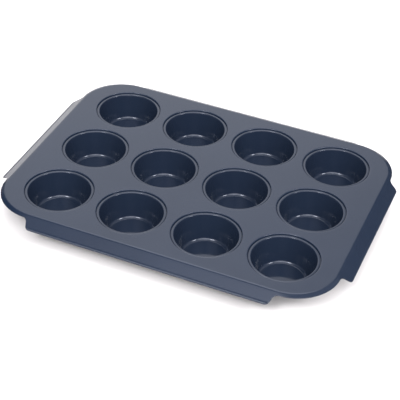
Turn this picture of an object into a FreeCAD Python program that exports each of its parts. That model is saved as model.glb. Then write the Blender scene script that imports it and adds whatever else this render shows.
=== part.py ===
import FreeCAD, Part
import os
from math import sin, cos, tan, radians
from FreeCAD import Vector

# Twelve-cup muffin tin, in millimetres. +X is to the right along the long side, +Y is to the back,
# +Z is up. The origin is on the surface that the tin stands on, under the middle of the deck.
#
# One pressed deck sheet carries twelve separately drawn cups. The margin of each opening in the deck
# is pressed down into a narrow seat, and the cup's flange lies in that seat.

# ---- driving dimensions -------------------------------------------------------------------------

COLUMNS = 4
ROWS = 3
PITCH = 84.0                 # between the middles of neighbouring cups, both ways

DECK_THICKNESS = 0.8
CUP_THICKNESS = 0.6
CUP_DEPTH = 29.0             # from the deck's top face to the inside of a cup's base

# The rim of the deck bends down into a flared skirt. Its crest is the line where the planes of the
# deck's top face and of the skirts would meet if the bend between them were sharp.
CREST_HALF_LENGTH = 183.5    # middle of the deck to the crest, along X
CREST_HALF_WIDTH = 134.4     # the same along Y
CORNER_RADIUS = 49.0         # plan radius of the crest's corners
BEND_RADIUS = 5.0            # outside of the bend
SKIRT_SLOPE = 33.5           # degrees below horizontal
SKIRT_REACH = 13.5           # horizontally from the crest to the bead's outer side
BEAD_RADIUS = 0.7            # rolled edge along the bottom of a skirt

# Plan outline that the sheet is trimmed to: long skirts on the sides, short lips round the corners.
LIP_REACH = 3.2              # horizontally from the crest, before it turns round the corner
FRONT_SKIRT_HALF = 131.8     # half length of the front and back skirts at their lower edge
SIDE_SKIRT_HALF = 82.0       # the same for the left and right skirts
SKIRT_TAPER = 4.0            # how much longer each skirt's end is where it meets the lip
TIP_RADIUS = 5.0             # rounding of a skirt's lower corners
NOTCH_RADIUS = 6.0           # rounding between a skirt's end and the corner lip

# The seat round each opening in the deck.
SEAT_RADIUS = 36.5           # inside of the riser
SEAT_ROUNDING = 1.0          # where the deck turns down into the riser
SEAT_DEPTH = 1.95            # from the deck's top face down to the seat
OPENING_RADIUS = 35.2        # hole left inside the seat

# Cups.
FLANGE_RADIUS = 36.0
LIP_START_RADIUS = 34.1      # where the flange turns down into the wall
LIP_RADIUS = 1.0             # inside of the cup
WALL_TAPER = 16.5            # degrees from vertical
BASE_FILLET = 4.0            # inside of the cup, between wall and base

# ---- worked out from those ----------------------------------------------------------------------

DECK_TOP = CUP_DEPTH + CUP_THICKNESS
FLANGE_TOP = DECK_TOP - SEAT_DEPTH + CUP_THICKNESS
BASE_INSIDE = CUP_THICKNESS
SLOPE = tan(radians(SKIRT_SLOPE))


def polar(centre, radius, degrees):
    """Point at an angle above +X round a centre, in a section drawn in X and Z."""
    angle = radians(degrees)
    return Vector(centre.x + radius * cos(angle), 0, centre.z + radius * sin(angle))


def line(start, end):
    return Part.LineSegment(start, end).toShape()


def arc(centre, radius, first, last):
    """Arc in the XZ section, from one angle to another in degrees."""
    middle = polar(centre, radius, (first + last) / 2)
    return Part.Arc(polar(centre, radius, first), middle, polar(centre, radius, last)).toShape()


def closed_face(edges):
    """Planar face from edges that are given in order, with straight lines put in any gaps."""
    chain = []
    for index, edge in enumerate(edges):
        following = edges[(index + 1) % len(edges)]
        chain.append(edge)
        end = edge.Vertexes[-1].Point
        start = following.Vertexes[0].Point
        if end.distanceToPoint(start) > 1e-6:
            chain.append(line(end, start))
    return Part.Face(Part.Wire(chain))


# ---- the deck sheet -----------------------------------------------------------------------------

def rounded_outline(half_x, half_y, radius, height):
    """Closed wire of a rectangle with round corners, at one height."""
    corners = [(1, 1), (-1, 1), (-1, -1), (1, -1)]
    edges = []
    for index, (sign_x, sign_y) in enumerate(corners):
        centre = Vector(sign_x * (half_x - radius), sign_y * (half_y - radius), height)
        points = []
        for degrees in (90 * index, 90 * index + 45, 90 * index + 90):
            angle = radians(degrees)
            points.append(centre + Vector(radius * cos(angle), radius * sin(angle), 0))
        edges.append(Part.Arc(*points).toShape())
    chain = []
    for index, edge in enumerate(edges):
        chain.append(edge)
        chain.append(line(edge.Vertexes[-1].Point, edges[(index + 1) % 4].Vertexes[0].Point))
    return Part.Wire(chain)


def rounded_prism(half_x, half_y, radius, bottom, height):
    face = Part.Face(rounded_outline(half_x, half_y, radius, bottom))
    return face.extrude(Vector(0, 0, height))


def flared_block(inset, top, bottom, bend):
    """Solid with the rim's flared sides and a rounded upper edge. Its corners keep one radius."""
    grow = (top - bottom) / SLOPE
    half_x = CREST_HALF_LENGTH - inset
    half_y = CREST_HALF_WIDTH - inset
    upper = rounded_outline(half_x, half_y, CORNER_RADIUS, top)
    lower = rounded_outline(half_x + grow, half_y + grow, CORNER_RADIUS, bottom)
    faces = [Part.Face(upper), Part.Face(lower)]
    for above, below in zip(upper.OrderedEdges, lower.OrderedEdges):
        faces.append(flank(above, below))
    shell = Part.Shell(faces)
    shell.sewShape()
    block = Part.Solid(shell)
    crest = [edge for edge in block.Edges if all(abs(v.Z - top) < 1e-4 for v in edge.Vertexes)]
    return block.makeFillet(bend, crest)


def flank(above, below):
    """Face between two edges of the same kind: flat along the sides, a slanted cylinder at a corner."""
    start, end = (vertex.Point for vertex in above.Vertexes)
    low_start, low_end = (vertex.Point for vertex in below.Vertexes)
    if isinstance(above.Curve, Part.Line):
        return Part.Face(Part.makePolygon([start, end, low_end, low_start, start]))
    return above.extrude(low_start - start)


def flared_sheet():
    """The deck's flat, the bend and the flared sides all round, as one sheet open below."""
    low = DECK_TOP - (SKIRT_REACH + 2) * SLOPE
    inset = DECK_THICKNESS * tan(radians(SKIRT_SLOPE / 2))
    outside = flared_block(0, DECK_TOP, low, BEND_RADIUS)
    inside = flared_block(inset, DECK_TOP - DECK_THICKNESS, low - 1, BEND_RADIUS - DECK_THICKNESS)
    return outside.cut(inside)


def bead_line():
    """How far beyond the crest, and how far below the deck's top, the middle of the bead lies."""
    run = SKIRT_REACH - BEAD_RADIUS
    drop = run * SLOPE + DECK_THICKNESS / 2 / cos(radians(SKIRT_SLOPE))
    return run, drop


def sides():
    """Half length, crest distance and turn of each of the four skirts."""
    return [
        (SIDE_SKIRT_HALF, CREST_HALF_LENGTH, 0),
        (FRONT_SKIRT_HALF, CREST_HALF_WIDTH, 90),
        (SIDE_SKIRT_HALF, CREST_HALF_LENGTH, 180),
        (FRONT_SKIRT_HALF, CREST_HALF_WIDTH, 270),
    ]


def bead(half_length, crest, turn):
    """The rolled edge along one skirt."""
    run, drop = bead_line()
    start = Vector(crest + run, -half_length, DECK_TOP - drop)
    rod = Part.makeCylinder(BEAD_RADIUS, 2 * half_length, start, Vector(0, 1, 0))
    return rod.rotated(Vector(0, 0, 0), Vector(0, 0, 1), turn)


def skirt_outline(half_length, crest, turn):
    """Plan shape that one skirt is trimmed to. Its ends taper, and run on inward past the lips."""
    outer = crest + SKIRT_REACH
    inner = crest - CORNER_RADIUS / 2
    root = half_length + (outer - inner) * SKIRT_TAPER / (SKIRT_REACH - LIP_REACH)
    points = [
        Vector(inner, -root, 0),
        Vector(outer, -half_length, 0),
        Vector(outer, half_length, 0),
        Vector(inner, root, 0),
    ]
    face = Part.Face(Part.makePolygon(points + points[:1]))
    return face.rotated(Vector(0, 0, 0), Vector(0, 0, 1), turn)


def trim_tool():
    """Upright prism that holds what is left of the rim: four skirts and the lips between them."""
    lip = rounded_prism(CREST_HALF_LENGTH + LIP_REACH, CREST_HALF_WIDTH + LIP_REACH,
                        CORNER_RADIUS, 0, DECK_TOP + 1)
    prisms = [skirt_outline(*side).extrude(Vector(0, 0, DECK_TOP + 1)) for side in sides()]
    return round_trim(lip.multiFuse(prisms).removeSplitter())


def round_trim(prism):
    """Rounds the skirts' lower corners, and the notches where their ends meet the lips."""
    tips = upright_edges(prism, outer=True)
    notches = upright_edges(prism, outer=False)
    return prism.makeFillet(NOTCH_RADIUS, notches).makeFillet(TIP_RADIUS, tips)


def upright_edges(prism, outer):
    """The prism's corner edges, either at the skirts' tips or where the skirts meet the lips."""
    found = []
    for edge in prism.Edges:
        ends = [vertex.Point for vertex in edge.Vertexes]
        if len(ends) < 2 or abs(ends[0].z - ends[1].z) < DECK_TOP / 2:
            continue
        spare_x = CREST_HALF_LENGTH + SKIRT_REACH - abs(ends[0].x)
        spare_y = CREST_HALF_WIDTH + SKIRT_REACH - abs(ends[0].y)
        if (min(spare_x, spare_y) < 1.0) == outer:
            found.append(edge)
    return found


def seat_ring():
    """The pressed-down margin of one opening, out to a little past the rounding."""
    top = DECK_TOP
    outer = SEAT_RADIUS + SEAT_ROUNDING + 1.0
    over = Vector(SEAT_RADIUS + SEAT_ROUNDING, 0, top - SEAT_ROUNDING)
    under_radius = SEAT_ROUNDING - DECK_THICKNESS
    ledge_top = top - SEAT_DEPTH
    ledge_bottom = ledge_top - DECK_THICKNESS
    foot = Vector(SEAT_RADIUS, 0, ledge_bottom + DECK_THICKNESS)
    section = closed_face([
        line(Vector(outer, 0, top), Vector(over.x, 0, top)),
        arc(over, SEAT_ROUNDING, 90, 180),
        line(Vector(SEAT_RADIUS, 0, ledge_top), Vector(OPENING_RADIUS, 0, ledge_top)),
        line(Vector(OPENING_RADIUS, 0, ledge_bottom), Vector(foot.x, 0, ledge_bottom)),
        arc(foot, DECK_THICKNESS, 270, 360),
        arc(over, under_radius, 180, 90),
        line(Vector(outer, 0, top - DECK_THICKNESS), Vector(outer, 0, top)),
    ])
    return section.revolve(Vector(0, 0, 0), Vector(0, 0, 1), 360), outer


def cup_centres():
    """Row, column and place of each cup, from the front row and the left column."""
    for row in range(ROWS):
        for column in range(COLUMNS):
            x = (column - (COLUMNS - 1) / 2) * PITCH
            y = (row - (ROWS - 1) / 2) * PITCH
            yield row + 1, column + 1, Vector(x, y, 0)


def deck_sheet():
    run, _ = bead_line()
    half_x = CREST_HALF_LENGTH + run
    half_y = CREST_HALF_WIDTH + run
    limits = Part.makeBox(2 * half_x, 2 * half_y, DECK_TOP, Vector(-half_x, -half_y, 0))
    sheet = flared_sheet().common(limits)
    sheet = sheet.multiFuse([bead(*side) for side in sides()]).common(trim_tool())
    ring, hole_radius = seat_ring()
    holes = []
    rings = []
    for _, _, place in cup_centres():
        holes.append(Part.makeCylinder(hole_radius, DECK_TOP + 1, place))
        rings.append(ring.translated(place))
    sheet = sheet.cut(Part.makeCompound(holes))
    return sheet.multiFuse(rings).removeSplitter()


# ---- the cups -----------------------------------------------------------------------------------

def cup_section():
    """Half section of a cup: flange, rolled lip, tapered wall, rounded corner and flat base."""
    lip = Vector(LIP_START_RADIUS, 0, FLANGE_TOP - LIP_RADIUS)
    lip_end = 180 - WALL_TAPER
    wall_top = polar(lip, LIP_RADIUS, lip_end)
    sharp_corner = wall_top.x - (wall_top.z - BASE_INSIDE) * tan(radians(WALL_TAPER))
    fillet_x = sharp_corner - BASE_FILLET * tan(radians((90 - WALL_TAPER) / 2))
    corner = Vector(fillet_x, 0, BASE_INSIDE + BASE_FILLET)
    outside_lip = LIP_RADIUS - CUP_THICKNESS
    outside_corner = BASE_FILLET + CUP_THICKNESS
    return closed_face([
        line(Vector(0, 0, BASE_INSIDE), Vector(fillet_x, 0, BASE_INSIDE)),
        arc(corner, BASE_FILLET, -90, -WALL_TAPER),
        arc(lip, LIP_RADIUS, lip_end, 90),
        line(Vector(LIP_START_RADIUS, 0, FLANGE_TOP), Vector(FLANGE_RADIUS, 0, FLANGE_TOP)),
        line(Vector(FLANGE_RADIUS, 0, FLANGE_TOP - CUP_THICKNESS),
             Vector(LIP_START_RADIUS, 0, FLANGE_TOP - CUP_THICKNESS)),
        arc(lip, outside_lip, 90, lip_end),
        arc(corner, outside_corner, -WALL_TAPER, -90),
        line(Vector(fillet_x, 0, 0), Vector(0, 0, 0)),
    ])


def drawn_cup():
    return cup_section().revolve(Vector(0, 0, 0), Vector(0, 0, 1), 360)


# ---- files --------------------------------------------------------------------------------------

def main():
    os.makedirs("parts", exist_ok=True)
    deck_sheet().exportStep("parts/deck_sheet.step")
    cup = drawn_cup()
    for row, column, place in cup_centres():
        cup.translated(place).exportStep("parts/cup_r%dc%d.step" % (row, column))


main()
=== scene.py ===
from math import acos, atan2, ceil, cos, hypot, pi, radians, sin, tan

import bpy
import numpy as np
from mathutils import Matrix, Vector
from mathutils.geometry import delaunay_2d_cdt


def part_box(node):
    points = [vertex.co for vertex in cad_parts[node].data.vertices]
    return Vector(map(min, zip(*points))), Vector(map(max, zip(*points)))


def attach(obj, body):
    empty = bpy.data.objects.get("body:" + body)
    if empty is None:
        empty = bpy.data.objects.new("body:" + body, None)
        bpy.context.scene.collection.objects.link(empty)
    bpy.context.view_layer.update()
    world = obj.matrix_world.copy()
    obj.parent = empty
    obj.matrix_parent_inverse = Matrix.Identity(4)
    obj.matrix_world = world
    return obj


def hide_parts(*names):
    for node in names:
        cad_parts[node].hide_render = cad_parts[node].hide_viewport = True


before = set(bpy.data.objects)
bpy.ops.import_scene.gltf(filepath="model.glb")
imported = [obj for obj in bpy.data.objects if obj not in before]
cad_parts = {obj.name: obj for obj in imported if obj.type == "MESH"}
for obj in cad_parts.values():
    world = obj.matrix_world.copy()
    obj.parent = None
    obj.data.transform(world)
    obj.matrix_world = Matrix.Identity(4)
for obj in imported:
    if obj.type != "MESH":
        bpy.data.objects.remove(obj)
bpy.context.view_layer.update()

# Sizes of the tin, in millimetres, as its parts are made. Meshes are scaled to metres at the end.
MM = 0.001

COLUMNS = 4
ROWS = 3
DECK_THICKNESS = 0.8
CUP_THICKNESS = 0.6
BEND_RADIUS = 5.0        # outside of the bend between the deck and its skirts
SKIRT_SLOPE = radians(33.5)
SKIRT_REACH = 13.5       # from the crest, where the deck's plane and a skirt's would meet
BEAD_RADIUS = 0.7        # rolled edge along the bottom of a skirt
LIP_REACH = 3.2          # from the crest too, round the corners
CORNER_RADIUS = 49.0
SKIRT_HALVES = {"front": 131.8, "side": 82.0}     # half lengths, along the lower edge
SKIRT_TAPER = 4.0        # how much longer each skirt's end is where it meets the lip
TIP_RADIUS = 5.0
NOTCH_RADIUS = 6.0

SEAT_RADIUS = 36.5       # pressed-down margin of each opening: inside of its riser
SEAT_ROUNDING = 1.0
SEAT_DEPTH = 1.95
OPENING_RADIUS = 35.2

FLANGE_RADIUS = 36.0
LIP_START_RADIUS = 34.1  # where a cup's flange turns down into its wall
LIP_RADIUS = 1.0
WALL_TAPER = radians(16.5)
BASE_FILLET = 4.0

DECK_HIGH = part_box("deck_sheet")[1]
DECK_TOP = DECK_HIGH.z / MM
CREST_X = DECK_HIGH.x / MM - SKIRT_REACH
CREST_Y = DECK_HIGH.y / MM - SKIRT_REACH


# ---- small plane geometry -----------------------------------------------------------------------

SAME_POINT = 1e-5        # points that lie closer than this are one


def arc_points(centre, radius, first, last, count):
    """Points on a circle, from one angle to another, both ends included."""
    angles = np.linspace(first, last, count + 1)
    return [(centre[0] + radius * cos(a), centre[1] + radius * sin(a)) for a in angles]


def line_points(start, end, count):
    """Points along a line, both ends included."""
    steps = np.linspace(0, 1, count + 1)
    return [(start[0] + (end[0] - start[0]) * t, start[1] + (end[1] - start[1]) * t) for t in steps]


def joined(*runs):
    """One run of points from several, without the points that repeat where they meet."""
    points = []
    for run in runs:
        for point in run:
            if not points or hypot(point[0] - points[-1][0], point[1] - points[-1][1]) > SAME_POINT:
                points.append(point)
    return points


def joined_exact(*runs):
    """One run of points from several that don't share any, so that every section has as many."""
    return [point for run in runs for point in run]


# ---- the deck's outline in plan -----------------------------------------------------------------

def rounded_tip(outer, half_length, direction):
    """Points round a skirt's lower corner, from its lower edge to its end, which runs that way."""
    sweep = atan2(direction[1], direction[0]) - pi / 2
    setback = TIP_RADIUS * tan(sweep / 2)
    centre = (outer - TIP_RADIUS, half_length - setback)
    return arc_points(centre, TIP_RADIUS, 0, sweep, 10)


def skirt_end(crest, half_length, centre):
    """A skirt's end, in a frame where the skirt looks along +X and this end is at +Y.

    It runs from the lower edge round the tip, up the taper and round the notch to the lip's arc.
    centre is the middle of the lip's arc. The angle at which it meets that arc is returned as well.
    """
    outer = crest + SKIRT_REACH
    run = SKIRT_REACH - LIP_REACH
    length = hypot(run, SKIRT_TAPER)
    direction = (-run / length, SKIRT_TAPER / length)
    away = (SKIRT_TAPER / length, run / length)
    tip = rounded_tip(outer, half_length, direction)
    # the notch's arc touches the taper's line and the lip's circle, both from outside
    base = (outer + away[0] * NOTCH_RADIUS - centre[0],
            half_length + away[1] * NOTCH_RADIUS - centre[1])
    along = base[0] * direction[0] + base[1] * direction[1]
    reach = CORNER_RADIUS + NOTCH_RADIUS
    distance = -along - (along ** 2 - (base[0] ** 2 + base[1] ** 2 - reach ** 2)) ** 0.5
    notch = (base[0] + direction[0] * distance, base[1] + direction[1] * distance)
    lip_angle = atan2(notch[1], notch[0])
    first = atan2(-away[1], -away[0])
    notch = (notch[0] + centre[0], notch[1] + centre[1])
    last = lip_angle - pi
    rounding = arc_points(notch, NOTCH_RADIUS, first, last, 12)
    return joined(tip, line_points(tip[-1], rounding[0], 10), rounding), lip_angle


def quarter_outline():
    """Outline of one quarter of the trimmed sheet, from the right side's middle to the back's."""
    centre = (CREST_X + LIP_REACH - CORNER_RADIUS, CREST_Y + LIP_REACH - CORNER_RADIUS)
    side, side_angle = skirt_end(CREST_X, SKIRT_HALVES["side"], centre)
    swapped = (centre[1], centre[0])
    back, back_angle = skirt_end(CREST_Y, SKIRT_HALVES["front"], swapped)
    back = [(y, x) for x, y in reversed(back)]
    lip = arc_points(centre, CORNER_RADIUS, side_angle, pi / 2 - back_angle, 28)
    first = line_points((side[0][0], 0), side[0], 18)
    last = line_points(back[-1], (0, back[-1][1]), 26)
    return joined(first, side, lip, back, last)


def whole_outline():
    """Closed outline of the trimmed sheet, anticlockwise, made from its first quarter."""
    quarter = quarter_outline()
    half = quarter + [(-x, y) for x, y in reversed(quarter[:-1])]
    return half[:-1] + [(-x, -y) for x, y in half[:-1]]


def flare_drop(over_x, over_y):
    """How far the flared rim lies below the crest, at a place given from a corner arc's middle.

    The sides are flat and the corners are slanted cylinders of one radius between them.
    """
    apart = abs(over_x - over_y)
    if apart > CORNER_RADIUS:
        moved = max(over_x, over_y) - CORNER_RADIUS
    else:
        moved = (over_x + over_y - (2 * CORNER_RADIUS ** 2 - apart ** 2) ** 0.5) / 2
    return moved * tan(SKIRT_SLOPE)


def stations():
    """For each outline point: its foot on the crest, the way out, and the reach and drop from it."""
    rows = []
    for x, y in whole_outline():
        over = (abs(x) - CREST_X + CORNER_RADIUS, abs(y) - CREST_Y + CORNER_RADIUS)
        if min(over) > 0:
            length = hypot(*over)
            normal = (over[0] / length, over[1] / length)
            reach = length - CORNER_RADIUS
        elif over[1] > 0:
            normal, reach = (0, 1), over[1] - CORNER_RADIUS
        else:
            normal, reach = (1, 0), over[0] - CORNER_RADIUS
        drop = flare_drop(*over)
        normal = (normal[0] * (1 if x >= 0 else -1), normal[1] * (1 if y >= 0 else -1))
        rows.append(((x - normal[0] * reach, y - normal[1] * reach), normal, reach, drop))
    return rows


# ---- sections -----------------------------------------------------------------------------------

SUPPORT = 1.5            # width of the flat strip kept beside each bend, so that shading stays flat
BEAD_GROWTH = 1.6        # reach over which the trimmed edge grows into the bead
SEAT_FOOT_FILLET = 0.12  # between the riser and the seat
HUB_RADIUS = 1.0         # ring round the middle of a cup's base, where its faces meet


def rim_section(reach, drop):
    """Section of the rim, out from the crest: top face to the edge, round it, and back underneath."""
    slope = atan2(drop, reach)
    share = min(max((reach - SKIRT_REACH) / BEAD_GROWTH + 1, 0), 1)
    edge = DECK_THICKNESS / 2 + (BEAD_RADIUS - DECK_THICKNESS / 2) * share * share * (3 - 2 * share)
    setback = BEND_RADIUS * tan(slope / 2)
    bend = (-setback, -BEND_RADIUS)
    end = pi / 2 - slope
    top = arc_points(bend, BEND_RADIUS, pi / 2, end, 9)
    under = arc_points(bend, BEND_RADIUS - DECK_THICKNESS, end, pi / 2, 9)
    middle_radius = BEND_RADIUS - DECK_THICKNESS / 2
    middle = (bend[0] + middle_radius * cos(end), bend[1] + middle_radius * sin(end))
    centre_u = reach - edge
    centre = (centre_u, middle[1] - (centre_u - middle[0]) * tan(slope))
    # angle from the sheet's normal back to where its face runs into the edge's circle
    back = acos(DECK_THICKNESS / 2 / edge)
    around = arc_points(centre, edge, end + back, end - pi - back, 14)
    return joined_exact(
        [(-setback - SUPPORT, 0)], top, line_points(top[-1], around[0], 6)[1:-1], around,
        line_points(around[-1], under[0], 6)[1:-1], under, [(-setback - SUPPORT, -DECK_THICKNESS)])


def seat_section():
    """Radius and height below the deck's top, down round one opening's margin and back under it."""
    over = (SEAT_RADIUS + SEAT_ROUNDING, -SEAT_ROUNDING)
    tip = DECK_THICKNESS / 2
    ledge = (OPENING_RADIUS + tip, -SEAT_DEPTH - tip)
    foot = (SEAT_RADIUS, -SEAT_DEPTH)
    fillet = (foot[0] - SEAT_FOOT_FILLET, foot[1] + SEAT_FOOT_FILLET)
    return joined(
        [(over[0] + SUPPORT, 0)],
        arc_points(over, SEAT_ROUNDING, pi / 2, pi, 8),
        arc_points(fillet, SEAT_FOOT_FILLET, 0, -pi / 2, 3),
        arc_points(ledge, tip, pi / 2, 3 * pi / 2, 8),
        arc_points(foot, DECK_THICKNESS, -pi / 2, 0, 6),
        arc_points(over, SEAT_ROUNDING - DECK_THICKNESS, pi, pi / 2, 5),
        [(over[0] + SUPPORT, -DECK_THICKNESS)])


def cup_section():
    """Radius and height of a cup's section, from the base's inside up over the lip and back."""
    flange_top = DECK_TOP - SEAT_DEPTH + CUP_THICKNESS
    lip = (LIP_START_RADIUS, flange_top - LIP_RADIUS)
    wall = lip[0] - LIP_RADIUS * cos(WALL_TAPER)
    wall_top = lip[1] + LIP_RADIUS * sin(WALL_TAPER)
    sharp = wall - (wall_top - CUP_THICKNESS) * tan(WALL_TAPER)
    fillet = sharp - BASE_FILLET * tan((pi / 2 - WALL_TAPER) / 2)
    corner = (fillet, CUP_THICKNESS + BASE_FILLET)
    edge = CUP_THICKNESS / 2
    flange = (FLANGE_RADIUS - edge, flange_top - edge)
    inside = arc_points(corner, BASE_FILLET, -pi / 2, -WALL_TAPER, 10)
    over = arc_points(lip, LIP_RADIUS, pi - WALL_TAPER, pi / 2, 12)
    around = arc_points(flange, edge, pi / 2, -pi / 2, 6)
    beneath = arc_points(lip, LIP_RADIUS - CUP_THICKNESS, pi / 2, pi - WALL_TAPER, 8)
    outside = arc_points(corner, BASE_FILLET + CUP_THICKNESS, -WALL_TAPER, -pi / 2, 10)
    return joined(
        line_points((HUB_RADIUS, CUP_THICKNESS), inside[0], 7), inside,
        line_points(inside[-1], over[0], 10), over,
        around, beneath,
        line_points(beneath[-1], outside[0], 10), outside,
        line_points(outside[-1], (HUB_RADIUS, 0), 7))


# ---- meshes -------------------------------------------------------------------------------------

def new_piece(name, vertices, faces, material):
    """Smooth piece from vertices in millimetres, riding on the tin's only body."""
    mesh = bpy.data.meshes.new(name)
    mesh.from_pydata([tuple(c * MM for c in v) for v in vertices], [], faces)
    mesh.validate()
    mesh.shade_smooth()
    mesh.materials.append(material)
    piece = bpy.data.objects.new(name, mesh)
    bpy.context.scene.collection.objects.link(piece)
    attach(piece, "root")
    return piece


def ring_faces(columns, rows, first):
    """Quads of a closed ring stored column after column, each column holding the given rows."""
    faces = []
    for i in range(columns):
        j = (i + 1) % columns
        for k in range(rows - 1):
            a = first + i * rows + k
            b = first + j * rows + k
            faces.append((a, b, b + 1, a + 1))
    return faces


SEGMENTS = 144           # round each cup and each seat
GRID_STEP = 7.0          # between the points inside the deck's flat
GRID_CLEARANCE = 0.45    # how far they keep from its edges, as a share of that step
FILL_TOLERANCE = 1e-6


def cup_mesh(x, y):
    """Closed skin of one drawn cup, with its middle at x, y."""
    section = cup_section()
    rows = len(section)
    vertices = []
    for i in range(SEGMENTS):
        angle = 2 * pi * i / SEGMENTS
        vertices += [(x + r * cos(angle), y + r * sin(angle), z) for r, z in section]
    faces = [tuple(reversed(face)) for face in ring_faces(SEGMENTS, rows, 0)]
    for row, height, flip in ((0, CUP_THICKNESS, False), (rows - 1, 0.0, True)):
        centre = len(vertices)
        vertices.append((x, y, height))
        for i in range(SEGMENTS):
            a = i * rows + row
            b = (i + 1) % SEGMENTS * rows + row
            faces.append((centre, b, a) if flip else (centre, a, b))
    return vertices, faces


def cup_places():
    """Name and place of each cup, from the front row and the left column."""
    pitch_x, pitch_y = cup_pitch()
    for row in range(ROWS):
        for column in range(COLUMNS):
            name = "cup_r%dc%d" % (row + 1, column + 1)
            yield name, (column - (COLUMNS - 1) / 2) * pitch_x, (row - (ROWS - 1) / 2) * pitch_y


def cup_pitch():
    """Distance between neighbouring cups along X and along Y, from the frame."""
    first = sum(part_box("cup_r1c1"), Vector()) / 2 / MM
    last = sum(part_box("cup_r%dc%d" % (ROWS, COLUMNS)), Vector()) / 2 / MM
    return (last.x - first.x) / (COLUMNS - 1), (last.y - first.y) / (ROWS - 1)


def deck_mesh():
    """Closed skin of the deck sheet: rim, seats, and the flat between them above and below."""
    vertices = []
    faces = []
    # rim: one section per station, set out along the way out from the crest
    rim = stations()
    rim_rows = len(rim_section(*rim[0][2:]))
    for (px, py), (nx, ny), reach, drop in rim:
        for u, w in rim_section(reach, drop):
            vertices.append((px + nx * u, py + ny * u, DECK_TOP + w))
    faces += [tuple(reversed(face)) for face in ring_faces(len(rim), rim_rows, 0)]
    top_loops = [[i * rim_rows for i in range(len(rim))]]
    under_loops = [[i * rim_rows + rim_rows - 1 for i in range(len(rim))]]
    # seats
    section = seat_section()
    for _, x, y in cup_places():
        first = len(vertices)
        for i in range(SEGMENTS):
            angle = 2 * pi * i / SEGMENTS
            vertices += [(x + r * cos(angle), y + r * sin(angle), DECK_TOP + w) for r, w in section]
        faces += ring_faces(SEGMENTS, len(section), first)
        top_loops.append([first + i * len(section) for i in range(SEGMENTS)])
        under_loops.append([first + (i + 1) * len(section) - 1 for i in range(SEGMENTS)])
    fill_flat(vertices, faces, top_loops, DECK_TOP, up=True)
    fill_flat(vertices, faces, under_loops, DECK_TOP - DECK_THICKNESS, up=False)
    return vertices, faces


def grid_points(places):
    """Points on a grid over the flat, kept clear of the rim and of the seats."""
    margin = SUPPORT + GRID_STEP * GRID_CLEARANCE
    clear = SEAT_RADIUS + SEAT_ROUNDING + margin
    inset = BEND_RADIUS * tan(SKIRT_SLOPE / 2) + margin
    half_x = CREST_X - inset
    half_y = CREST_Y - inset
    corner = CORNER_RADIUS - inset
    points = []
    for i in range(-ceil(half_x / GRID_STEP), ceil(half_x / GRID_STEP) + 1):
        for j in range(-ceil(half_y / GRID_STEP), ceil(half_y / GRID_STEP) + 1):
            x, y = i * GRID_STEP, j * GRID_STEP
            if abs(x) > half_x or abs(y) > half_y:
                continue
            over = (abs(x) - half_x + corner, abs(y) - half_y + corner)
            if min(over) > 0 and hypot(*over) > corner:
                continue
            if all(hypot(x - cx, y - cy) > clear for cx, cy in places):
                points.append((x, y))
    return points


def fill_flat(vertices, faces, loops, height, up):
    """Adds the flat at one height, as triangles between the rim's loop and the seats' loops."""
    hole_radius = (SEAT_RADIUS + SEAT_ROUNDING + SUPPORT) * cos(pi / SEGMENTS)
    numbers = []
    points = []
    edges = []
    for loop in loops:
        start = len(points)
        for number in loop:
            numbers.append(number)
            points.append(Vector(vertices[number][:2]))
        edges += [(start + i, start + (i + 1) % len(loop)) for i in range(len(loop))]
    places = [(x, y) for _, x, y in cup_places()]
    for x, y in grid_points(places):
        numbers.append(len(vertices))
        points.append(Vector((x, y)))
        vertices.append((x, y, height))
    out_points, _, triangles, origins, _, _ = delaunay_2d_cdt(points, edges, [], 0, FILL_TOLERANCE)
    for triangle in triangles:
        corners = [out_points[i] for i in triangle]
        mid = sum(corners, Vector((0, 0))) / 3
        if any(hypot(mid.x - x, mid.y - y) < hole_radius for x, y in places):
            continue
        face = [numbers[origins[i][0]] for i in triangle]
        turn = (corners[1] - corners[0]).cross(corners[2] - corners[0])
        faces.append(tuple(face if (turn > 0) == up else reversed(face)))


# ---- materials ----------------------------------------------------------------------------------

class Nodes:
    """A material's node tree, with short calls to add nodes and join them."""

    def __init__(self, name):
        self.material = bpy.data.materials.new(name)
        self.material.use_nodes = True
        self.tree = self.material.node_tree
        self.shader = self.tree.nodes["Principled BSDF"]
        self.place = self.add("ShaderNodeTexCoord").outputs["Object"]

    def add(self, kind, **values):
        node = self.tree.nodes.new(kind)
        for name, value in values.items():
            setattr(node, name, value)
        return node

    def join(self, output, target):
        self.tree.links.new(output, target)

    def noise(self, scale, detail=3.0, roughness=0.5):
        """Noise over the object's own place, so that it stays put on the piece."""
        node = self.add("ShaderNodeTexNoise")
        node.inputs["Scale"].default_value = scale
        node.inputs["Detail"].default_value = detail
        node.inputs["Roughness"].default_value = roughness
        self.join(self.place, node.inputs["Vector"])
        return node.outputs["Fac"]

    def spread(self, value, low, high, out_low, out_high):
        """Value carried from one range to another, and held at the ends."""
        node = self.add("ShaderNodeMapRange", clamp=True)
        self.join(value, node.inputs["Value"])
        limits = {"From Min": low, "From Max": high, "To Min": out_low, "To Max": out_high}
        for name, number in limits.items():
            node.inputs[name].default_value = number
        return node.outputs["Result"]

    def mix(self, share, first, second):
        """Colour mix. Each of the two is a colour or an output."""
        node = self.add("ShaderNodeMix", data_type="RGBA")
        self.join(share, node.inputs[0])
        # sockets 6 and 7 and output 2 are the ones for colours
        for socket, value in ((node.inputs[6], first), (node.inputs[7], second)):
            if isinstance(value, tuple):
                socket.default_value = (*value, 1.0)
            else:
                self.join(value, socket)
        return node.outputs[2]

    def bump(self, height, distance, strength, normal=None):
        """Bump on top of another one, if there is one."""
        node = self.add("ShaderNodeBump")
        node.inputs["Distance"].default_value = distance
        node.inputs["Strength"].default_value = strength
        self.join(height, node.inputs["Height"])
        if normal is not None:
            self.join(normal, node.inputs["Normal"])
        return node.outputs["Normal"]


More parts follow.
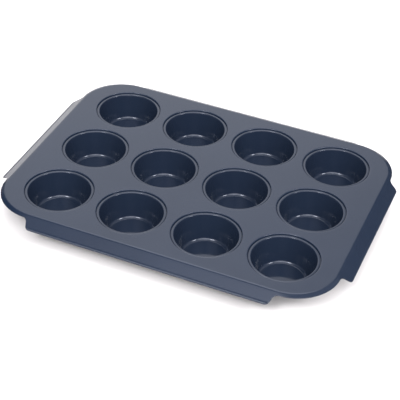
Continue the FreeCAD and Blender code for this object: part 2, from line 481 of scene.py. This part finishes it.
FLAKE_TONE = (0.05, 0.06, 0.085)
WEAR_TONE = (0.06, 0.07, 0.09)
SHEEN_TINT = (0.84, 0.87, 1.0, 1.0)
# metres: the coating's orange peel, and the slow waves of the sheet under it
PEEL_DEPTH = 0.000015
WAVE_DEPTH = 0.0006


def coating(name, dark, light, roughness, shine):
    """Non-stick coating on pressed steel: dark blue-grey with fine flakes and a soft orange peel.

    Convex edges are worn a little paler, and slow waves in the sheet bend its reflections.
    """
    nodes = Nodes(name)
    shader = nodes.shader
    cloud = nodes.spread(nodes.noise(14.0, 4.0), 0.35, 0.65, 0.0, 1.0)
    base = nodes.mix(cloud, dark, light)
    flakes = nodes.spread(nodes.noise(2600.0, 2.0, 0.6), 0.60, 0.78, 0.0, 0.25)
    base = nodes.mix(flakes, base, FLAKE_TONE)
    worn = nodes.add("ShaderNodeNewGeometry").outputs["Pointiness"]
    wear = nodes.spread(worn, 0.54, 0.64, 0.0, 0.25)
    base = nodes.mix(wear, base, WEAR_TONE)
    nodes.join(base, shader.inputs["Base Color"])
    smudge = nodes.spread(nodes.noise(38.0, 5.0, 0.6), 0.3, 0.7, roughness - 0.03, roughness + 0.04)
    nodes.join(smudge, shader.inputs["Roughness"])
    wave = nodes.bump(nodes.noise(11.0, 1.0), WAVE_DEPTH, 0.5)
    peel = nodes.bump(nodes.noise(620.0, 2.0), PEEL_DEPTH, 0.5, wave)
    nodes.join(peel, shader.inputs["Normal"])
    shader.inputs["Specular IOR Level"].default_value = shine
    shader.inputs["Specular Tint"].default_value = SHEEN_TINT
    return nodes.material


FLOOR_TONES = (0.695, 0.673, 0.680), (0.681, 0.660, 0.667)


def floor_material():
    nodes = Nodes("studio_floor")
    tone = nodes.mix(nodes.noise(3.0), *FLOOR_TONES)
    nodes.join(tone, nodes.shader.inputs["Base Color"])
    nodes.shader.inputs["Roughness"].default_value = 0.8
    nodes.shader.inputs["Specular IOR Level"].default_value = 0.1
    return nodes.material


# ---- the tin ------------------------------------------------------------------------------------

DECK_TONES = (0.0068, 0.0121, 0.0255), (0.0077, 0.0135, 0.0281)
CUP_TONES = (0.0080, 0.0126, 0.0246), (0.0089, 0.0141, 0.0272)


def build_tin():
    deck_coating = coating("deck_coating", *DECK_TONES, roughness=0.21, shine=0.36)
    cup_coating = coating("cup_coating", *CUP_TONES, roughness=0.08, shine=0.37)
    vertices, faces = deck_mesh()
    deck = new_piece("pressed_deck", vertices, faces, deck_coating)
    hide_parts("deck_sheet")
    for name, x, y in cup_places():
        vertices, faces = cup_mesh(x, y)
        cup = new_piece("drawn_" + name, vertices, faces, cup_coating)
        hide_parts(name)


# ---- stage, light and camera --------------------------------------------------------------------

FLOOR_SIZE = 16.0
FLOOR_STEPS = 24


def build_floor():
    """Square floor at the height that the tin stands on, as a grid of quads."""
    mesh = bpy.data.meshes.new("floor")
    side = np.linspace(-FLOOR_SIZE / 2, FLOOR_SIZE / 2, FLOOR_STEPS + 1)
    vertices = [(x, y, 0.0) for y in side for x in side]
    faces = []
    for row in range(FLOOR_STEPS):
        for column in range(FLOOR_STEPS):
            near = row * len(side) + column
            far = near + len(side)
            faces.append((near, near + 1, far + 1, far))
    mesh.from_pydata(vertices, [], faces)
    mesh.materials.append(floor_material())
    floor = bpy.data.objects.new("floor", mesh)
    bpy.context.scene.collection.objects.link(floor)


# way to the middle of each softbox, the cosines where its edge starts and is full, its strength
SOFTBOXES = (
    ((0.33, -0.62, 0.71), 0.90, 0.94, 2.95),
    ((0.02, -0.69, 0.72), 0.88, 0.92, 1.75),
    ((0.62, -0.34, 0.70), 0.84, 0.91, 1.75),
    ((-0.46, 0.75, 0.47), 0.85, 0.965, 2.14),
    ((0.58, 0.15, 0.80), 0.75, 0.84, 0.80),
    ((-0.15, -0.93, 0.30), 0.30, 0.95, 1.20),
    ((0.98, -0.21, -0.05), 0.96, 1.00, 1.30),
    ((-0.14, -0.33, 0.93), 0.960, 0.992, 2.05),
    ((-0.18, 0.40, 0.90), 0.945, 0.980, 5.0),
    ((0.71, -0.12, 0.69), 0.991, 0.994, 26.0),
    ((-0.13, -0.63, 0.76), 0.991, 0.994, 26.0),
    ((0.46, 0.73, 0.50), 0.80, 0.95, 0.20),
)


def build_world():
    """Dark surroundings with round softboxes, added up: in front, on the right and at the back."""
    world = bpy.data.worlds.new("studio")
    bpy.context.scene.world = world
    world.use_nodes = True
    tree = world.node_tree
    background = tree.nodes["Background"]
    background.inputs["Color"].default_value = (1.0, 1.0, 1.0, 1.0)
    coordinates = tree.nodes.new("ShaderNodeTexCoord")
    total = None
    for towards, low, high, bright in SOFTBOXES:
        dot = tree.nodes.new("ShaderNodeVectorMath")
        dot.operation = "DOT_PRODUCT"
        dot.inputs[1].default_value = Vector(towards).normalized()
        tree.links.new(coordinates.outputs["Generated"], dot.inputs[0])
        ramp = tree.nodes.new("ShaderNodeMapRange")
        limits = {"From Min": low, "From Max": high, "To Min": 0.0, "To Max": bright}
        for name, number in limits.items():
            ramp.inputs[name].default_value = number
        tree.links.new(dot.outputs["Value"], ramp.inputs["Value"])
        value = ramp.outputs["Result"]
        if total is not None:
            add = tree.nodes.new("ShaderNodeMath")
            tree.links.new(total, add.inputs[0])
            tree.links.new(value, add.inputs[1])
            value = add.outputs[0]
        total = value
    tree.links.new(total, background.inputs["Strength"])


LENS = 108.15            # millimetres, on a sensor 36 mm wide
SENSOR = 36.0
LENS_SHIFT = (-0.0015, 0.0006)
CAMERA_PLACE = (0.3752, -0.9610, 0.7776)     # metres, from the middle of the deck's top face
AZIMUTH = radians(21.26)
ELEVATION = radians(38.0754)
ROLL = radians(2.7192)


def build_camera():
    """Camera that looks down at the tin from the front right, tilted a little to one side."""
    data = bpy.data.cameras.new("camera")
    data.lens = LENS
    data.sensor_width = SENSOR
    data.shift_x, data.shift_y = LENS_SHIFT
    camera = bpy.data.objects.new("camera", data)
    back = Vector((sin(AZIMUTH) * cos(ELEVATION), -cos(AZIMUTH) * cos(ELEVATION), sin(ELEVATION)))
    right = (-back).cross(Vector((0, 0, 1))).normalized()
    up = right.cross(-back)
    tilted_right = right * cos(ROLL) + up * sin(ROLL)
    tilted_up = up * cos(ROLL) - right * sin(ROLL)
    turn = Matrix((tilted_right, tilted_up, back)).transposed()
    place = Vector(CAMERA_PLACE) + Vector((0, 0, DECK_TOP * MM))
    camera.matrix_world = Matrix.Translation(place) @ turn.to_4x4()
    bpy.context.scene.collection.objects.link(camera)
    bpy.context.scene.camera = camera


build_tin()
build_floor()
build_world()
build_camera()
bpy.context.scene.view_settings.view_transform = "Standard"
